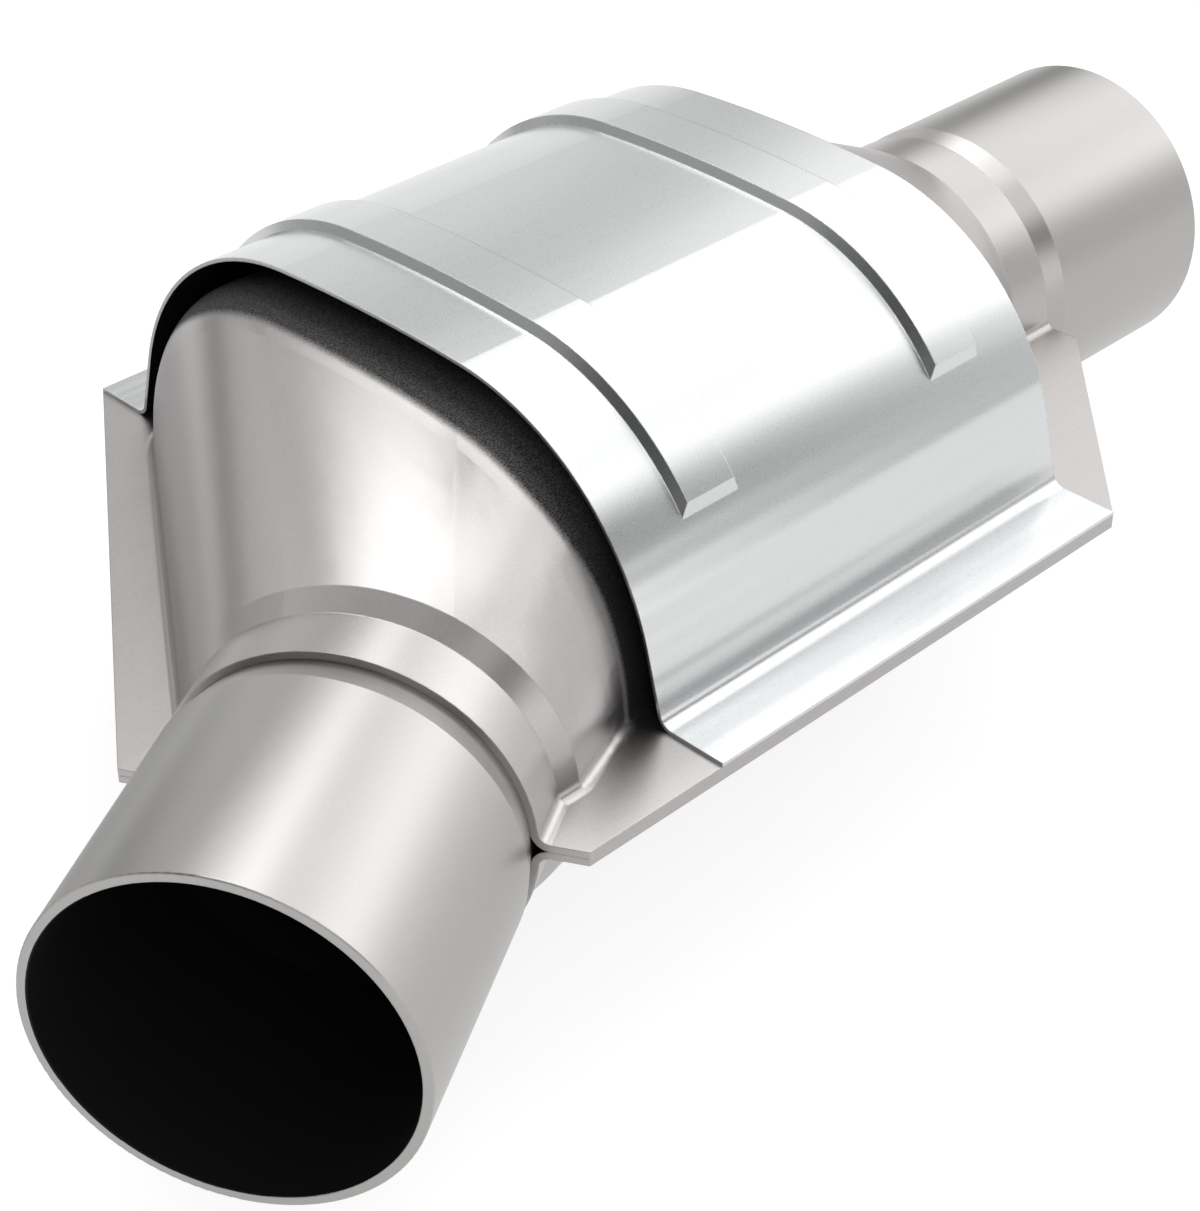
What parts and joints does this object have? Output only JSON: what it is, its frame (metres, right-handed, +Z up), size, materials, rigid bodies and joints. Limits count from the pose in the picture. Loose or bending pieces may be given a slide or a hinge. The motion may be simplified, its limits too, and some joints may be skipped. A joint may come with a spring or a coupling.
{
  "type": "catalytic converter",
  "caption": "Clamshell catalytic converter with a ribbed heat shield, a straight outlet pipe, an angled inlet pipe and a ceramic honeycomb inside.",
  "frame": {"origin": "centre of the outlet pipe's open end, on the seam plane between the half shells", "axes": "+X along the outlet pipe's axis towards the inlet, +Y towards the side that the inlet pipe leans to, +Z up through the heat shield"},
  "size_m": [0.3198, 0.1874, 0.1002],
  "materials": {
    "shield_steel": "satin",
    "shell_steel": "satin",
    "pipe_steel": "satin",
    "ceramic": "matte",
    "mat_fibre": "matte",
    "seal_mesh": "satin"
  },
  "bodies": {
    "root": {"upper_shell": "shell_steel", "lower_shell": "shell_steel", "heat_shield": "shield_steel", "inlet_pipe": "pipe_steel", "outlet_pipe": "pipe_steel", "substrate": "ceramic", "support_mat": "mat_fibre", "inlet_seal": "seal_mesh", "outlet_seal": "seal_mesh"}
  },
  "joints": []
}
